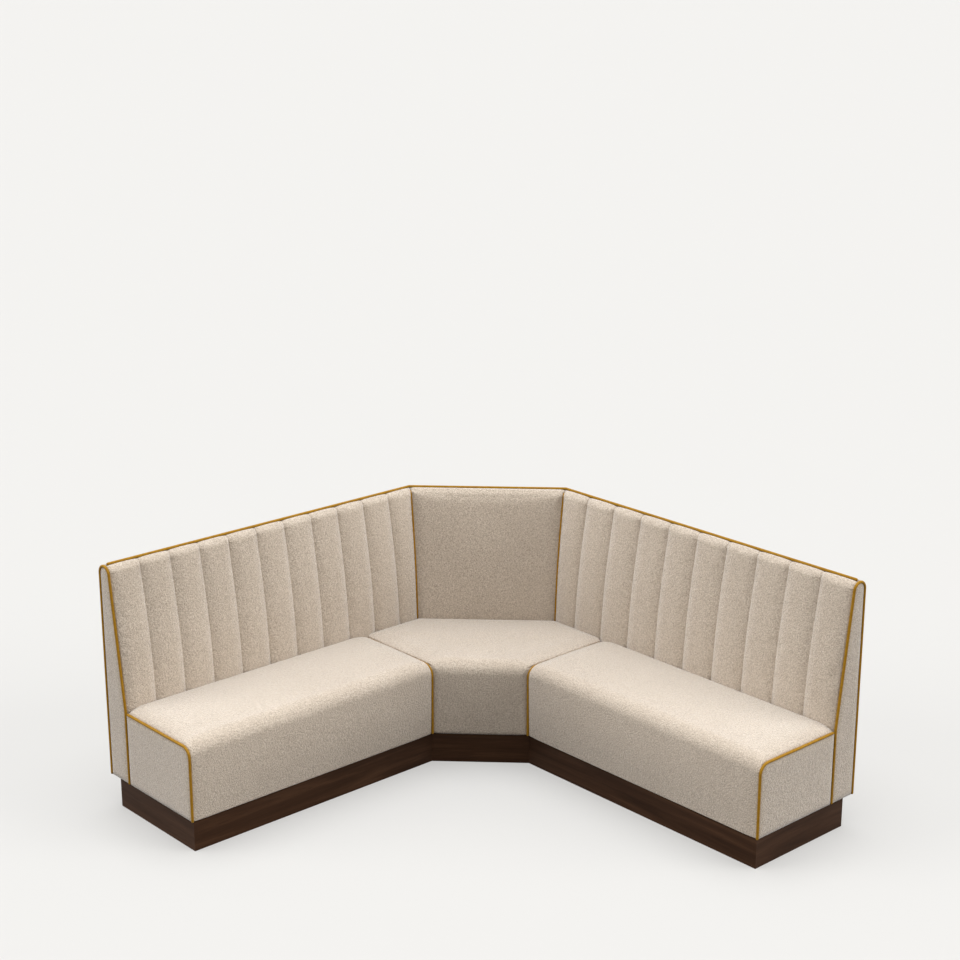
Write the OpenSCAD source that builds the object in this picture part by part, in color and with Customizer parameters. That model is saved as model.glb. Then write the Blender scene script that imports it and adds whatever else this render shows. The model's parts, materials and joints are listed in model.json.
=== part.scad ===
// Corner banquette bench: a left and a right straight seat with fluted backs, and a slanted corner
// seat with a plain back, all on a recessed plinth. Millimetres, +Z up. The origin lies on the floor
// in the middle of the overall plan, and the corner of the room is towards +X and +Y.

/* [Overall] */
// Length of the left side along the wall, from the corner of the room
left_len = 2200; // [1700:5:3000]
// Length of the right side along the wall, from the corner of the room
right_len = 2245; // [1700:5:3000]
// Overall height, to the top of the piping
total_h = 1100; // [950:5:1300]
// Depth of the bench from the wall to the front of the seat
total_d = 620; // [560:5:720]

/* [Corner] */
// Distance from the corner of the room to each end of the slanted back
corner_cut = 540; // [460:5:600]
// Distance from the corner of the room to the joints between the seats
corner_seat = 915; // [860:5:1000]

/* [Plinth] */
// Height of the plinth
plinth_h = 140; // [80:5:180]
// Thickness of the plinth boards
plinth_t = 22; // [18:1:30]
// Set-back of the plinth at the front and at the free ends
plinth_front_gap = 22; // [10:1:40]
// Set-back of the plinth at the rear
plinth_rear_gap = 45; // [20:1:60]
// Most that two cross pieces of the plinth stand apart
plinth_spacing = 620; // [400:10:900]

/* [Seat] */
// Height of the top of the piping at the ends of the seats
seat_h = 470; // [430:5:500]
// Thickness of a cushion at its piped edge
cushion_t = 105; // [90:1:140]
// Rise of a cushion above the middle of its piping
crown = 28; // [10:1:40]
// Length over which a cushion falls to its piped ends
end_roll = 85; // [50:1:120]
// Radius of the front edge of the seat
edge_r = 50; // [35:1:70]
// Length over which a cushion falls to the back
rear_roll = 40; // [20:1:60]
// Fall of a cushion at the back
rear_drop = 12; // [4:1:20]
// Thickness of the padding on the front of the seat
front_pad_t = 16; // [10:1:25]
// Thickness of the end padding of the seats and backs
end_pad_t = 8; // [5:1:10]

/* [Back] */
// Depth of the back where it meets the seat
back_d = 150; // [130:5:180]
// Radius of the rounded top of the back
arch_r = 40; // [32:1:50]
// Thickness of the back pads where they meet the seat
back_pad_t = 45; // [35:1:60]
// Depth to which the back pads reach below the piping of the seat
tuck = 40; // [30:1:60]
// Number of flutes on the left back
left_flutes = 11; // [6:1:16]
// Number of flutes on the right back
right_flutes = 10; // [6:1:16]
// Depth of the seams between the flutes
flute_depth = 14; // [4:1:18]
// Thickness of the rear cover
rear_cover_t = 8; // [5:1:12]

/* [Frame] */
// Thickness of the boards and ribs of the frame
board_t = 18; // [15:1:25]
// Thickness of the boards behind the back pads
back_board_t = 9; // [6:1:12]
// Height of the rails at the foot and the top of the back
rail_h = 44; // [30:1:60]
// Most that two ribs stand apart
rib_spacing = 420; // [300:10:600]

/* [Piping] */
// Diameter of the piping
piping_d = 12; // [8:1:14]

/* [Fasteners] */
// Diameter of the bolts that join the seat bases
bolt_d = 8; // [6:1:10]
// Width across the flats of a bolt head or nut
bolt_af = 13; // [10:1:17]
// Height of a bolt head or nut
bolt_head_h = 6; // [4:0.5:8]
// Length of bolt past its nut
bolt_past = 5; // [2:1:10]
// Diameter of the screws between back and seat
screw_d = 5; // [4:0.5:6]
// Length of a screw under its head
screw_l = 60; // [45:5:80]
// Diameter of a screw head
screw_head_d = 10; // [8:0.5:12]
// Height of a screw head
screw_head_h = 3; // [2:0.5:4]

/* [Hidden] */
$fn = 48;

// Colours
fabric_colour = "#cdbfae";
piping_colour = "#b9801f";
walnut_colour = "#3d2a20";
ply_colour = "#d6b888";
timber_colour = "#c79f68";
steel_colour = "#a9adb1";

// Clearance between two pieces that lie side by side, and the overrun of a cut
gap = 0.3;
over = 1;
// The slanted back stands at 45 degrees to both walls, so each of its joints is mitred at half that
slant = 45;
mitre = slant / 2;
mitre_k = tan(mitre);
root2 = sqrt(2);

piping_r = piping_d / 2;
// Half the width and the depth of the groove in which a piping lies, as shares of its radius
groove_half_share = 1.3;
groove_depth_share = 1.75;
groove_half = piping_r * groove_half_share;
groove_depth = piping_r * groove_depth_share;

// Section of a back, in distance from the wall and height
arch_z = total_h - piping_r - arch_r;
pad_bottom = seat_h - tuck;
shoulder_d = back_d - back_pad_t;
rail_z = arch_z - rail_h;
// Section of a seat
deck_top = seat_h - cushion_t;
deck_z = deck_top - board_t;
base_h = deck_z - plinth_h;
front_d = total_d - piping_r;
base_front_d = front_d - front_pad_t;
// Clearance holes are this much wider than their bolts and screws
hole_play = 0.4;

// Steps round the arch, along a cushion's fall and across one flute
arch_steps = 5;
roll_steps = 6;
flute_shares = [-1, -0.72, 0, 0.72];
// Places across the plain pad of the corner, as shares of half its width
plain_shares = [-1, -0.94, -0.85, -0.5, 0, 0.5, 0.85, 0.94, 1];
// How sharply a flute and the plain pad fall to their seams
flute_power = 3;
plain_power = 12;
// A seam is this share as deep at the crest as on the face of the back
crest_share = 0.45;
// Places of a back pad's rings between the seat and the arch
face_shares = [1 / 3, 2 / 3];
piping_sides = 8;
// The piping between the backs stands this share of its radius proud of the seam that it lies in
joint_lift_share = 1.3;
// The knee of a cushion's fall to the back, as a share of the fall
knee_share = 1 / 3;
// The corner cushion rises last within an outline that lies further in by these shares of the front
// edge's radius, of the fall to the joints and of the fall to the back
dome_shares = [2.5, 1.7, 2.5];
// Height of that last rise
dome = 4;
// Places of the screws in the height of a seat base, and of the bolts in its depth
screw_shares = [1 / 3, 2 / 3];
bolt_shares = [1 / 4, 3 / 4];
// The outer faces of two bolted boards lie this far from the middle of their joint
clamp_half = gap / 2 + board_t;

// Places along a side, counted from the corner of the room
function side_end(len) = len - piping_d - gap;
function mitre_at(d) = corner_cut + d * mitre_k;
function blend(a, b, t) = a + (b - a) * t;

// Half the length of the slanted back at distance d in front of its rear
function slant_half(d) = corner_cut / root2 - d * mitre_k;

// Placement: a side runs along +X from the corner of the room, with +Y towards the front
module placed() translate([left_len / 2, right_len / 2, 0]) children();
module on_left() placed() rotate([0, 0, 180]) children();
module on_right() placed() mirror([1, 1, 0]) children();
module on_corner()
    placed() translate([-corner_cut / 2, -corner_cut / 2, 0]) rotate([0, 0, 90 + slant]) children();
module on_both() {
    on_left() children();
    on_right() children();
}

// A section drawn in distance and height, drawn out along a side
module run(from, to) translate([from, 0, 0]) rotate([90, 0, 90]) linear_extrude(to - from) children();

// The same, with its inner end mitred to the slanted back
module side_run(len) intersection() {
    run(corner_cut, side_end(len)) children();
    translate([0, 0, -over]) linear_extrude(total_h + 2 * over) polygon([
        [mitre_at(0) + gap, -over], [side_end(len) + over, -over],
        [side_end(len) + over, back_d + over], [mitre_at(back_d + over) + gap, back_d + over]
    ]);
}

// The same along the slanted back, mitred at both ends
module corner_run() intersection() {
    run(-corner_cut, corner_cut) children();
    translate([0, 0, -over]) linear_extrude(total_h + 2 * over) polygon([
        [-slant_half(-over), -over], [slant_half(-over), -over],
        [slant_half(back_d + over), back_d + over], [-slant_half(back_d + over), back_d + over]
    ]);
}

// Joins rings of points, all with the same number of points, into one closed solid
module loft(rings) {
    n = len(rings[0]);
    last = (len(rings) - 1) * n;
    sides = [
        for (j = [0:len(rings) - 2], i = [0:n - 1])
            let (a = j * n + i, b = j * n + (i + 1) % n)
            each [[a, b, b + n], [a, b + n, a + n]]
    ];
    first_cap = [[for (i = [n - 1:-1:0]) i]];
    last_cap = [[for (i = [0:n - 1]) last + i]];
    polyhedron([for (r = rings) each r], concat(first_cap, sides, last_cap), convexity = 6);
}

// A round cord along a flat path of [x, y] points, mitred at each of them
module cord(path) {
    last = len(path) - 1;
    function heading(i) = (path[i + 1] - path[i]) / norm(path[i + 1] - path[i]);
    function across(i) = let (
        before = heading(max(i - 1, 0)), after = heading(min(i, last - 1)),
        sum = before + after, middle = sum / norm(sum)
    ) [-middle.y, middle.x] / (middle * after);
    loft([
        for (i = [0:last]) [
            for (s = [0:piping_sides - 1])
                let (angle = 360 * s / piping_sides, side = across(i) * cos(angle) * piping_r)
                [path[i].x + side.x, path[i].y + side.y, sin(angle) * piping_r]
        ]
    ]);
}

// Outline of a back, moved in by i. The raked front is a tangent from the seat to the arch.
function rake(i) = let (
    v = [back_d - i - arch_r, seat_h - arch_z]
) atan2(v.y, v.x) + acos((arch_r - i) / norm(v));
function arch_point(i, angle) = [arch_r + (arch_r - i) * cos(angle), arch_z + (arch_r - i) * sin(angle)];

function arch(i) = [
    for (s = [0:2 * arch_steps]) arch_point(i, blend(180, rake(i), s / (2 * arch_steps)))
];
function back_outline(i) = concat(
    [[i, plinth_h]], arch(i), [[back_d - i, seat_h], [back_d - i, plinth_h]]
);

// Outline of a seat's end, moved in by i
module seat_section(i) difference() {
    translate([back_d, plinth_h]) square([total_d - i - back_d, seat_h - i - plinth_h]);
    translate([total_d - edge_r, seat_h - edge_r]) difference() {
        square(edge_r);
        circle(edge_r - i);
    }
}

function seat_piping_path() = concat(
    [[back_d + gap, seat_h - piping_r]],
    [
        for (s = [0:arch_steps])
            let (angle = 90 * (1 - s / arch_steps), r = edge_r - piping_r)
            [total_d - edge_r + r * cos(angle), seat_h - edge_r + r * sin(angle)]
    ],
    [[front_d, plinth_h]]
);

// Ring of points round a back pad at depth o below the peak of a flute, in distance and height
function pad_ring(o) = concat(
    [[back_d - gap - o, pad_bottom], [back_d - gap - o, seat_h]],
    [
        for (t = face_shares)
            blend([back_d - gap - o, seat_h], arch_point(o, rake(o)), t)
    ],
    [
        for (s = [0:arch_steps])
            let (t = s / arch_steps, last_angle = acos(groove_half / arch_r))
            arch_point(o * blend(1, crest_share, t), blend(rake(o), last_angle, t))
    ],
    [
        [arch_r + gap, arch_z + arch_r - groove_depth], [arch_r + gap, arch_z],
        [shoulder_d, pad_bottom]
    ]
);

function fall(share, power) = flute_depth * pow(abs(share), power);

// A fluted pad of a side, from the mitre at the corner to the piping at its end
module side_pad(len, flutes) {
    crest = mitre_at(arch_r);
    pitch = (side_end(len) - crest) / flutes;
    columns = [for (f = [0:flutes - 1], t = flute_shares) [f, t]];
    rings = concat(
        [
            for (c = columns) [
                for (p = pad_ring(fall(c[1], flute_power)))
                    let (
                        from = c[0] == 0 ? mitre_at(p.x) + gap : crest + c[0] * pitch,
                        to = crest + (c[0] + 1) * pitch
                    )
                    [blend(from, to, (c[1] + 1) / 2), p.x, p.y]
            ]
        ],
        [[for (p = pad_ring(flute_depth)) [side_end(len), p.x, p.y]]]
    );
    loft(rings);
}

// The plain pad of the corner
module corner_pad() loft([
    for (t = plain_shares) [
        for (p = pad_ring(fall(t, plain_power))) [t * (slant_half(p.x) - gap), p.x, p.y]
    ]
]);

module rear_cover_section() difference() {
    union() {
        translate([0, plinth_h]) square([rear_cover_t, arch_z - plinth_h]);
        intersection() {
            translate([arch_r, arch_z]) circle(arch_r);
            translate([0, arch_z]) square(arch_r);
        }
    }
    translate([arch_r, total_h - piping_r]) circle(piping_r + gap);
}

// Distance from the wall to the rear of a back pad at height z
function pad_rear(z) = blend(shoulder_d, arch_r, (z - pad_bottom) / (arch_z - pad_bottom));

module back_board_section() polygon([
    [shoulder_d - back_board_t, pad_bottom], [shoulder_d, pad_bottom],
    [arch_r, arch_z], [arch_r - back_board_t, arch_z]
]);

module bottom_rail_section()
    translate([rear_cover_t, plinth_h]) square([back_d - rear_cover_t, rail_h]);

module shoulder_rail_section()
    translate([shoulder_d - back_board_t, pad_bottom - board_t])
        square([back_d - shoulder_d + back_board_t, board_t]);

module top_rail_section() polygon([
    [rear_cover_t, rail_z], [pad_rear(rail_z) - back_board_t, rail_z],
    [arch_r - back_board_t, arch_z], [rear_cover_t, arch_z]
]);

module back_rail_sections() {
    bottom_rail_section();
    shoulder_rail_section();
    top_rail_section();
}

module rib_section() polygon([
    [rear_cover_t, plinth_h + rail_h], [back_d, plinth_h + rail_h],
    [back_d, pad_bottom - board_t], [shoulder_d - back_board_t, pad_bottom - board_t],
    [shoulder_d - back_board_t, pad_bottom],
    [pad_rear(rail_z) - back_board_t, rail_z], [rear_cover_t, rail_z]
]);

// Evenly spread places for pieces of thickness t between two ends, no further apart than spacing
function spread(from, to, t, spacing) = let (
    count = ceil((to - t - from) / spacing)
) [for (i = [0:count]) blend(from, to - t, i / count)];

function back_rib_places(len) = spread(mitre_at(back_d) + gap, side_end(len), board_t, rib_spacing);
function inner_places(places) = [for (i = [1:len(places) - 2]) places[i]];
// The base of a side starts at its joint with the corner
base_start = corner_seat + gap / 2;
clear_of_end = 2 * board_t;
// The back ribs that stand behind the base of a side, clear of its end boards
function screwed_places(len) = [
    for (u = back_rib_places(len))
        if (u > base_start + clear_of_end && u < side_end(len) - clear_of_end - board_t) u
];
// Heights of the screws and bolts, and distances of the bolts from the wall
screw_heights = [for (t = screw_shares) plinth_h + base_h * t];
bolt_height = plinth_h + base_h / 2;
bolt_places = [for (t = bolt_shares) blend(back_d, base_front_d, t)];

module at_screws(len)
    for (u = screwed_places(len), z = screw_heights)
        translate([u + board_t / 2, back_d + board_t, z]) rotate([90, 0, 0]) children();

module at_bolts()
    for (d = bolt_places) translate([corner_seat, d, bolt_height]) rotate([0, 90, 0]) children();

module back_ribs(len) difference() {
    for (u = back_rib_places(len)) run(u, u + board_t) rib_section();
    at_screws(len) cylinder(h = screw_l, d = screw_d);
}

module front_board(len) translate([base_start, base_front_d - board_t, plinth_h])
    cube([side_end(len) - base_start, board_t, base_h]);

module rear_board(len) difference() {
    translate([base_start, back_d, plinth_h])
        cube([side_end(len) - base_start, board_t, base_h]);
    at_screws(len) translate([0, 0, -over]) cylinder(h = board_t + 2 * over, d = screw_d + hole_play);
}

module base_rib(u) translate([u, back_d + board_t, plinth_h])
    cube([board_t, base_front_d - back_d - 2 * board_t, base_h]);

module end_boards(len) difference() {
    for (u = [base_start, side_end(len) - board_t]) base_rib(u);
    at_bolts() cylinder(h = clamp_half + over, d = bolt_d + hole_play);
}

module base_ribs(len)
    for (u = inner_places(spread(base_start, side_end(len), board_t, rib_spacing))) base_rib(u);

module deck(len) translate([base_start, back_d, deck_z])
    cube([side_end(len) - base_start, base_front_d - back_d, board_t]);

// A side's cushion: rings across it, moved in at the top by i_top and at the front by i_front
function cushion_ring(i_top, i_front) = let (
    top = seat_h - i_top, front = total_d - i_front, r = edge_r - i_front, rear = back_d + gap
) concat(
    [
        [rear, deck_top], [rear, top - rear_drop],
        [rear + rear_roll * knee_share, top - rear_drop * knee_share],
        [rear + rear_roll, top], [blend(rear + rear_roll, front - r, 0.5), top]
    ],
    [
        for (s = [0:arch_steps])
            let (angle = 90 * (1 - s / arch_steps))
            [front - r + r * cos(angle), top - r + r * sin(angle)]
    ],
    [[front, deck_top]]
);

// Share of the full crown at share x of the way along a fall: a quarter of an ellipse
function swell(x) = sqrt(1 - pow(1 - x, 2));

module cushion(len) {
    half = concat(
        [[gap / 2, piping_r + groove_depth, piping_r + groove_depth], [groove_half, piping_r, piping_r]],
        [
            for (s = [1:roll_steps])
                let (x = pow(s / roll_steps, 2), e = swell(x))
                [groove_half + end_roll * x, piping_r - crown * e, piping_r * (1 - e)]
        ]
    );
    start = corner_seat;
    end = side_end(len) + gap / 2;
    last = len(half) - 1;
    stations = concat(
        [for (h = half) [start + h[0], h[1], h[2]]],
        [for (i = [last:-1:0]) [end - half[i][0], half[i][1], half[i][2]]]
    );
    loft([for (s = stations) [for (p = cushion_ring(s[1], s[2])) [s[0], p.x, p.y]]]);
}

module front_pad(len) translate([0, 0, plinth_h]) linear_extrude(deck_top - plinth_h) polygon([
    [base_start, base_front_d + gap], [base_start, front_d - groove_depth],
    [corner_seat + groove_half, front_d], [side_end(len) - groove_half, front_d],
    [side_end(len), front_d - groove_depth], [side_end(len), base_front_d + gap]
]);

module seat_end_pad(len) run(side_end(len) + gap, side_end(len) + end_pad_t) difference() {
    seat_section(piping_d + gap);
    translate([back_d - over, plinth_h - over]) square([over + gap, seat_h]);
}

module back_end_pad(len)
    run(side_end(len) + gap, side_end(len) + end_pad_t) polygon(back_outline(piping_d + gap));

module at_end(len) translate([len - piping_r, 0, 0]) rotate([90, 0, 90]) children();

// The seat of the corner in plan: a meeting of straight edges. Each edge has the direction of its
// outward normal and a distance from the middle of the slanted back's rear.
joint_offset = corner_seat - corner_cut / 2;
side_back_offset = corner_cut / 2 - back_d;
slant_front = (total_d + corner_seat - corner_cut) / root2;
edge_angles = [-90, -slant, slant, 90, 180 - slant, 180 + slant];

function meet(a, p, b, q) = [p * sin(b) - q * sin(a), q * cos(a) - p * cos(b)] / sin(b - a);
function outline(angles, offsets) = [
    for (i = [0:len(angles) - 1])
        let (j = (i + 1) % len(angles)) meet(angles[i], offsets[i], angles[j], offsets[j])
];
function corner_outline(i_front, i_joint, i_rear) = outline(edge_angles, [
    -back_d - i_rear, side_back_offset - i_rear, joint_offset - i_joint,
    slant_front - i_front, joint_offset - i_joint, side_back_offset - i_rear
]);

// The same, with its two front corners cut clear of the piping in the joints
notch_angle = 90 - mitre;
pipe_at = [(corner_seat - front_d) / root2, (corner_seat + front_d - corner_cut) / root2];
notch_offset = pipe_at * [cos(notch_angle), sin(notch_angle)] - piping_r - gap;
// The least cut at a front corner of a ring
least_cut = 2;

function soft_outline(i_front, i_joint, i_rear) = let (
    joint = joint_offset - i_joint, front = slant_front - i_front,
    tip = meet(slant, joint, 90, front),
    cut = min(notch_offset, tip * [cos(notch_angle), sin(notch_angle)] - least_cut)
) outline(
    [-90, -slant, slant, notch_angle, 90, 180 - notch_angle, 180 - slant, 180 + slant],
    [-back_d - i_rear, side_back_offset - i_rear, joint, cut, front, cut, joint, side_back_offset - i_rear]
);

module corner_board(edge) translate([0, 0, plinth_h]) linear_extrude(base_h) {
    outer = corner_outline(total_d - base_front_d, gap / 2, 0);
    inner = corner_outline(total_d - base_front_d + board_t, gap / 2 + board_t, board_t);
    from = (edge + 5) % 6;
    polygon([outer[from], outer[edge], inner[edge], inner[from]]);
}

corner_top = seat_h - piping_r + crown;
corner_edge_z = seat_h - piping_r;
corner_front_z = corner_top - edge_r;

// How far each edge of the corner cushion has moved in at height z
function front_in(z) = let (e = (z - corner_front_z) / edge_r)
    e <= 0 ? 0 : edge_r * (1 - sqrt(max(1 - e * e, 0)));
function joint_in(z) = let (e = (z - corner_edge_z) / crown)
    z <= corner_edge_z - groove_depth ? gap / 2
    : z <= corner_edge_z ? blend(gap / 2, groove_half, (z - corner_edge_z + groove_depth) / groove_depth)
    : groove_half + end_roll * (1 - sqrt(max(1 - e * e, 0)));
function rear_in(z) = gap + rear_roll * pow(max(z - corner_top + rear_drop, 0) / rear_drop, 2);

module corner_cushion() {
    levels = concat(
        [deck_top, corner_front_z, corner_edge_z - groove_depth, corner_edge_z],
        [for (s = [1:roll_steps]) corner_edge_z + crown * swell(s / roll_steps)]
    );
    rings = [
        for (z = levels)
            [for (p = soft_outline(front_in(z), joint_in(z), rear_in(z))) [p.x, p.y, z]]
    ];
    inner = soft_outline(
        edge_r * dome_shares[0], groove_half + end_roll * dome_shares[1], rear_roll * dome_shares[2]
    );
    top_ring = [for (p = inner) [p.x, p.y, corner_top + dome]];
    loft(concat(rings, [top_ring]));
}

module corner_front_pad() translate([0, 0, plinth_h]) linear_extrude(deck_top - plinth_h)
    intersection() {
        polygon(soft_outline(piping_r, gap / 2, gap));
        translate([-total_d, slant_front - (total_d - base_front_d) + gap]) square([2 * total_d, total_d]);
    }

// The plinth: the front line moved in by i turns at its joints, and so does the rear line
function front_turn(i) = [corner_seat - i * mitre_k, total_d - i];
function rear_turn(i) = [mitre_at(i), i];
function plinth_front_in(inner) = plinth_front_gap + (inner ? plinth_t : 0);
function plinth_rear_in(inner) = plinth_rear_gap + (inner ? plinth_t : 0);
function plinth_end_at(len, inner) = len - plinth_front_gap - (inner ? plinth_t : 0);

module plinth_plan(points) linear_extrude(plinth_h) polygon(points);
module plinth_front(len) plinth_plan([
    front_turn(plinth_front_in(false)), [plinth_end_at(len, false), total_d - plinth_front_in(false)],
    [plinth_end_at(len, true), total_d - plinth_front_in(true)], front_turn(plinth_front_in(true))
]);
module plinth_rear(len) plinth_plan([
    rear_turn(plinth_rear_in(false)), [plinth_end_at(len, false), plinth_rear_in(false)],
    [plinth_end_at(len, true), plinth_rear_in(true)], rear_turn(plinth_rear_in(true))
]);
module plinth_end(len) plinth_plan([
    [plinth_end_at(len, false), plinth_rear_in(false)],
    [plinth_end_at(len, false), total_d - plinth_front_in(false)],
    [plinth_end_at(len, true), total_d - plinth_front_in(true)],
    [plinth_end_at(len, true), plinth_rear_in(true)]
]);
module plinth_cross(len)
    for (u = inner_places(spread(corner_seat - board_t, plinth_end_at(len, true), board_t, plinth_spacing)))
        translate([u, plinth_rear_in(true), 0])
            cube([board_t, total_d - plinth_front_in(true) - plinth_rear_in(true), plinth_h]);

// Half the length of the corner's front plinth board at i in from the front of the seat
function plinth_half(i) = (corner_seat - total_d + i * (1 - mitre_k)) / root2;
// The inner pieces of the corner stand on both sides of its middle
module on_corner_pair(d)
    on_corner() for (side = [-1, 1]) translate([(side * plinth_half(0) - board_t) / 2, d, 0]) children();

module plinth_front_slant() plinth_plan([
    [-plinth_half(plinth_front_in(false)), slant_front - plinth_front_in(false)],
    [plinth_half(plinth_front_in(false)), slant_front - plinth_front_in(false)],
    [plinth_half(plinth_front_in(true)), slant_front - plinth_front_in(true)],
    [-plinth_half(plinth_front_in(true)), slant_front - plinth_front_in(true)]
]);
module plinth_rear_slant() plinth_plan([
    [-slant_half(plinth_rear_in(false)), plinth_rear_in(false)],
    [slant_half(plinth_rear_in(false)), plinth_rear_in(false)],
    [slant_half(plinth_rear_in(true)), plinth_rear_in(true)],
    [-slant_half(plinth_rear_in(true)), plinth_rear_in(true)]
]);
module plinth_cross_slant() on_corner_pair(plinth_rear_in(true))
    cube([board_t, slant_front - plinth_front_in(true) - plinth_rear_in(true), plinth_h]);

// One module for each sub-part
module plinth_front_left() color(walnut_colour) on_left() plinth_front(left_len);
module plinth_front_corner() color(walnut_colour) on_corner() plinth_front_slant();
module plinth_front_right() color(walnut_colour) on_right() plinth_front(right_len);
module plinth_end_left() color(walnut_colour) on_left() plinth_end(left_len);
module plinth_end_right() color(walnut_colour) on_right() plinth_end(right_len);
module plinth_rear_left() color(walnut_colour) on_left() plinth_rear(left_len);
module plinth_rear_corner() color(walnut_colour) on_corner() plinth_rear_slant();
module plinth_rear_right() color(walnut_colour) on_right() plinth_rear(right_len);
module plinth_cross_pieces() color(timber_colour) {
    on_left() plinth_cross(left_len);
    on_right() plinth_cross(right_len);
    plinth_cross_slant();
}

module seat_front_board_left() color(ply_colour) on_left() front_board(left_len);
module seat_front_board_corner() color(ply_colour) on_corner() corner_board(3);
module seat_front_board_right() color(ply_colour) on_right() front_board(right_len);
module seat_rear_board_left() color(ply_colour) on_left() rear_board(left_len);
module seat_rear_boards_corner() color(ply_colour) on_corner() for (edge = [0, 1, 5]) corner_board(edge);
module seat_rear_board_right() color(ply_colour) on_right() rear_board(right_len);
module seat_end_boards_left() color(ply_colour) on_left() end_boards(left_len);
module seat_end_boards_corner() color(ply_colour) difference() {
    on_corner() for (edge = [2, 4]) corner_board(edge);
    on_both() at_bolts()
        translate([0, 0, -clamp_half - over]) cylinder(h = clamp_half + over, d = bolt_d + hole_play);
}
module seat_end_boards_right() color(ply_colour) on_right() end_boards(right_len);
module seat_ribs_left() color(ply_colour) on_left() base_ribs(left_len);
module seat_ribs_corner() color(ply_colour) on_corner_pair(back_d + board_t) translate([0, 0, plinth_h])
    cube([board_t, slant_front - (total_d - base_front_d) - back_d - 2 * board_t, base_h]);
module seat_ribs_right() color(ply_colour) on_right() base_ribs(right_len);
module seat_deck_left() color(ply_colour) on_left() deck(left_len);
module seat_deck_corner() color(ply_colour) on_corner()
    translate([0, 0, deck_z]) linear_extrude(board_t)
        polygon(corner_outline(total_d - base_front_d, gap / 2, 0));
module seat_deck_right() color(ply_colour) on_right() deck(right_len);

module seat_cushion_left() color(fabric_colour) on_left() cushion(left_len);
module seat_cushion_corner() color(fabric_colour) on_corner() corner_cushion();
module seat_cushion_right() color(fabric_colour) on_right() cushion(right_len);
module seat_front_pad_left() color(fabric_colour) on_left() front_pad(left_len);
module seat_front_pad_corner() color(fabric_colour) on_corner() corner_front_pad();
module seat_front_pad_right() color(fabric_colour) on_right() front_pad(right_len);
module seat_end_pad_left() color(fabric_colour) on_left() seat_end_pad(left_len);
module seat_end_pad_right() color(fabric_colour) on_right() seat_end_pad(right_len);

module back_ribs_left() color(ply_colour) on_left() back_ribs(left_len);
module back_ribs_corner() color(ply_colour) on_corner()
    for (u = spread(-slant_half(back_d), slant_half(back_d), board_t, rib_spacing))
        run(u, u + board_t) rib_section();
module back_ribs_right() color(ply_colour) on_right() back_ribs(right_len);
module back_rails_left() color(timber_colour) on_left() side_run(left_len) back_rail_sections();
module back_rails_corner() color(timber_colour) on_corner() corner_run() back_rail_sections();
module back_rails_right() color(timber_colour) on_right() side_run(right_len) back_rail_sections();
module back_board_left() color(ply_colour) on_left() side_run(left_len) back_board_section();
module back_board_corner() color(ply_colour) on_corner() corner_run() back_board_section();
module back_board_right() color(ply_colour) on_right() side_run(right_len) back_board_section();
module back_pad_left() color(fabric_colour) on_left() side_pad(left_len, left_flutes);
module back_pad_corner() color(fabric_colour) on_corner() corner_pad();
module back_pad_right() color(fabric_colour) on_right() side_pad(right_len, right_flutes);
module back_rear_cover_left() color(fabric_colour) on_left() side_run(left_len) rear_cover_section();
module back_rear_cover_corner() color(fabric_colour) on_corner() corner_run() rear_cover_section();
module back_rear_cover_right() color(fabric_colour) on_right() side_run(right_len) rear_cover_section();
module back_end_pad_left() color(fabric_colour) on_left() back_end_pad(left_len);
module back_end_pad_right() color(fabric_colour) on_right() back_end_pad(right_len);

module top_piping() color(piping_colour) placed() translate([0, 0, total_h - piping_r]) cord([
    [-side_end(left_len), -arch_r], [-mitre_at(arch_r), -arch_r],
    [-arch_r, -mitre_at(arch_r)], [-arch_r, -side_end(right_len)]
]);
module back_end_piping_left() color(piping_colour) on_left() at_end(left_len) cord(back_outline(piping_r));
module back_end_piping_right() color(piping_colour) on_right() at_end(right_len) cord(back_outline(piping_r));

// The piping between the backs lies in the valley of the mitre, on the seams of the pads
function joint_path() = let (
    i = flute_depth - piping_r * joint_lift_share,
    last_angle = acos((groove_half + piping_d) / arch_r)
) [
    for (p = concat(
        [blend([back_d - gap - i, seat_h], arch_point(i, rake(i)), crown / (arch_z - seat_h))],
        [for (s = [0:arch_steps]) arch_point(i, blend(rake(i), last_angle, s / arch_steps))]
    )) [p.x / cos(mitre), p.y]
];
module back_joint_piping() color(piping_colour) on_both()
    translate([corner_cut, 0, 0]) rotate([0, 0, -mitre]) rotate([90, 0, 90]) cord(joint_path());

module seat_end_piping_left() color(piping_colour) on_left() at_end(left_len) cord(seat_piping_path());
module seat_end_piping_right() color(piping_colour) on_right() at_end(right_len) cord(seat_piping_path());
module seat_joint_piping() color(piping_colour) on_both()
    translate([corner_seat, 0, 0]) rotate([90, 0, 90]) cord(seat_piping_path());

module hexagon(h) cylinder(h = h, d = bolt_af / cos(30), $fn = 6);
module joining_bolts() color(steel_colour) on_both() at_bolts() {
    translate([0, 0, -clamp_half - bolt_head_h - bolt_past])
        cylinder(h = 2 * clamp_half + bolt_head_h + bolt_past, d = bolt_d);
    translate([0, 0, clamp_half]) hexagon(bolt_head_h);
}
module joining_nuts() color(steel_colour) on_both() at_bolts()
    translate([0, 0, -clamp_half - bolt_head_h]) difference() {
        hexagon(bolt_head_h);
        translate([0, 0, -over]) cylinder(h = bolt_head_h + 2 * over, d = bolt_d);
    }
module back_screw() {
    cylinder(h = screw_l, d = screw_d);
    translate([0, 0, -screw_head_h]) cylinder(h = screw_head_h, d = screw_head_d);
}
module back_screws() color(steel_colour) {
    on_left() at_screws(left_len) back_screw();
    on_right() at_screws(right_len) back_screw();
}

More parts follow.
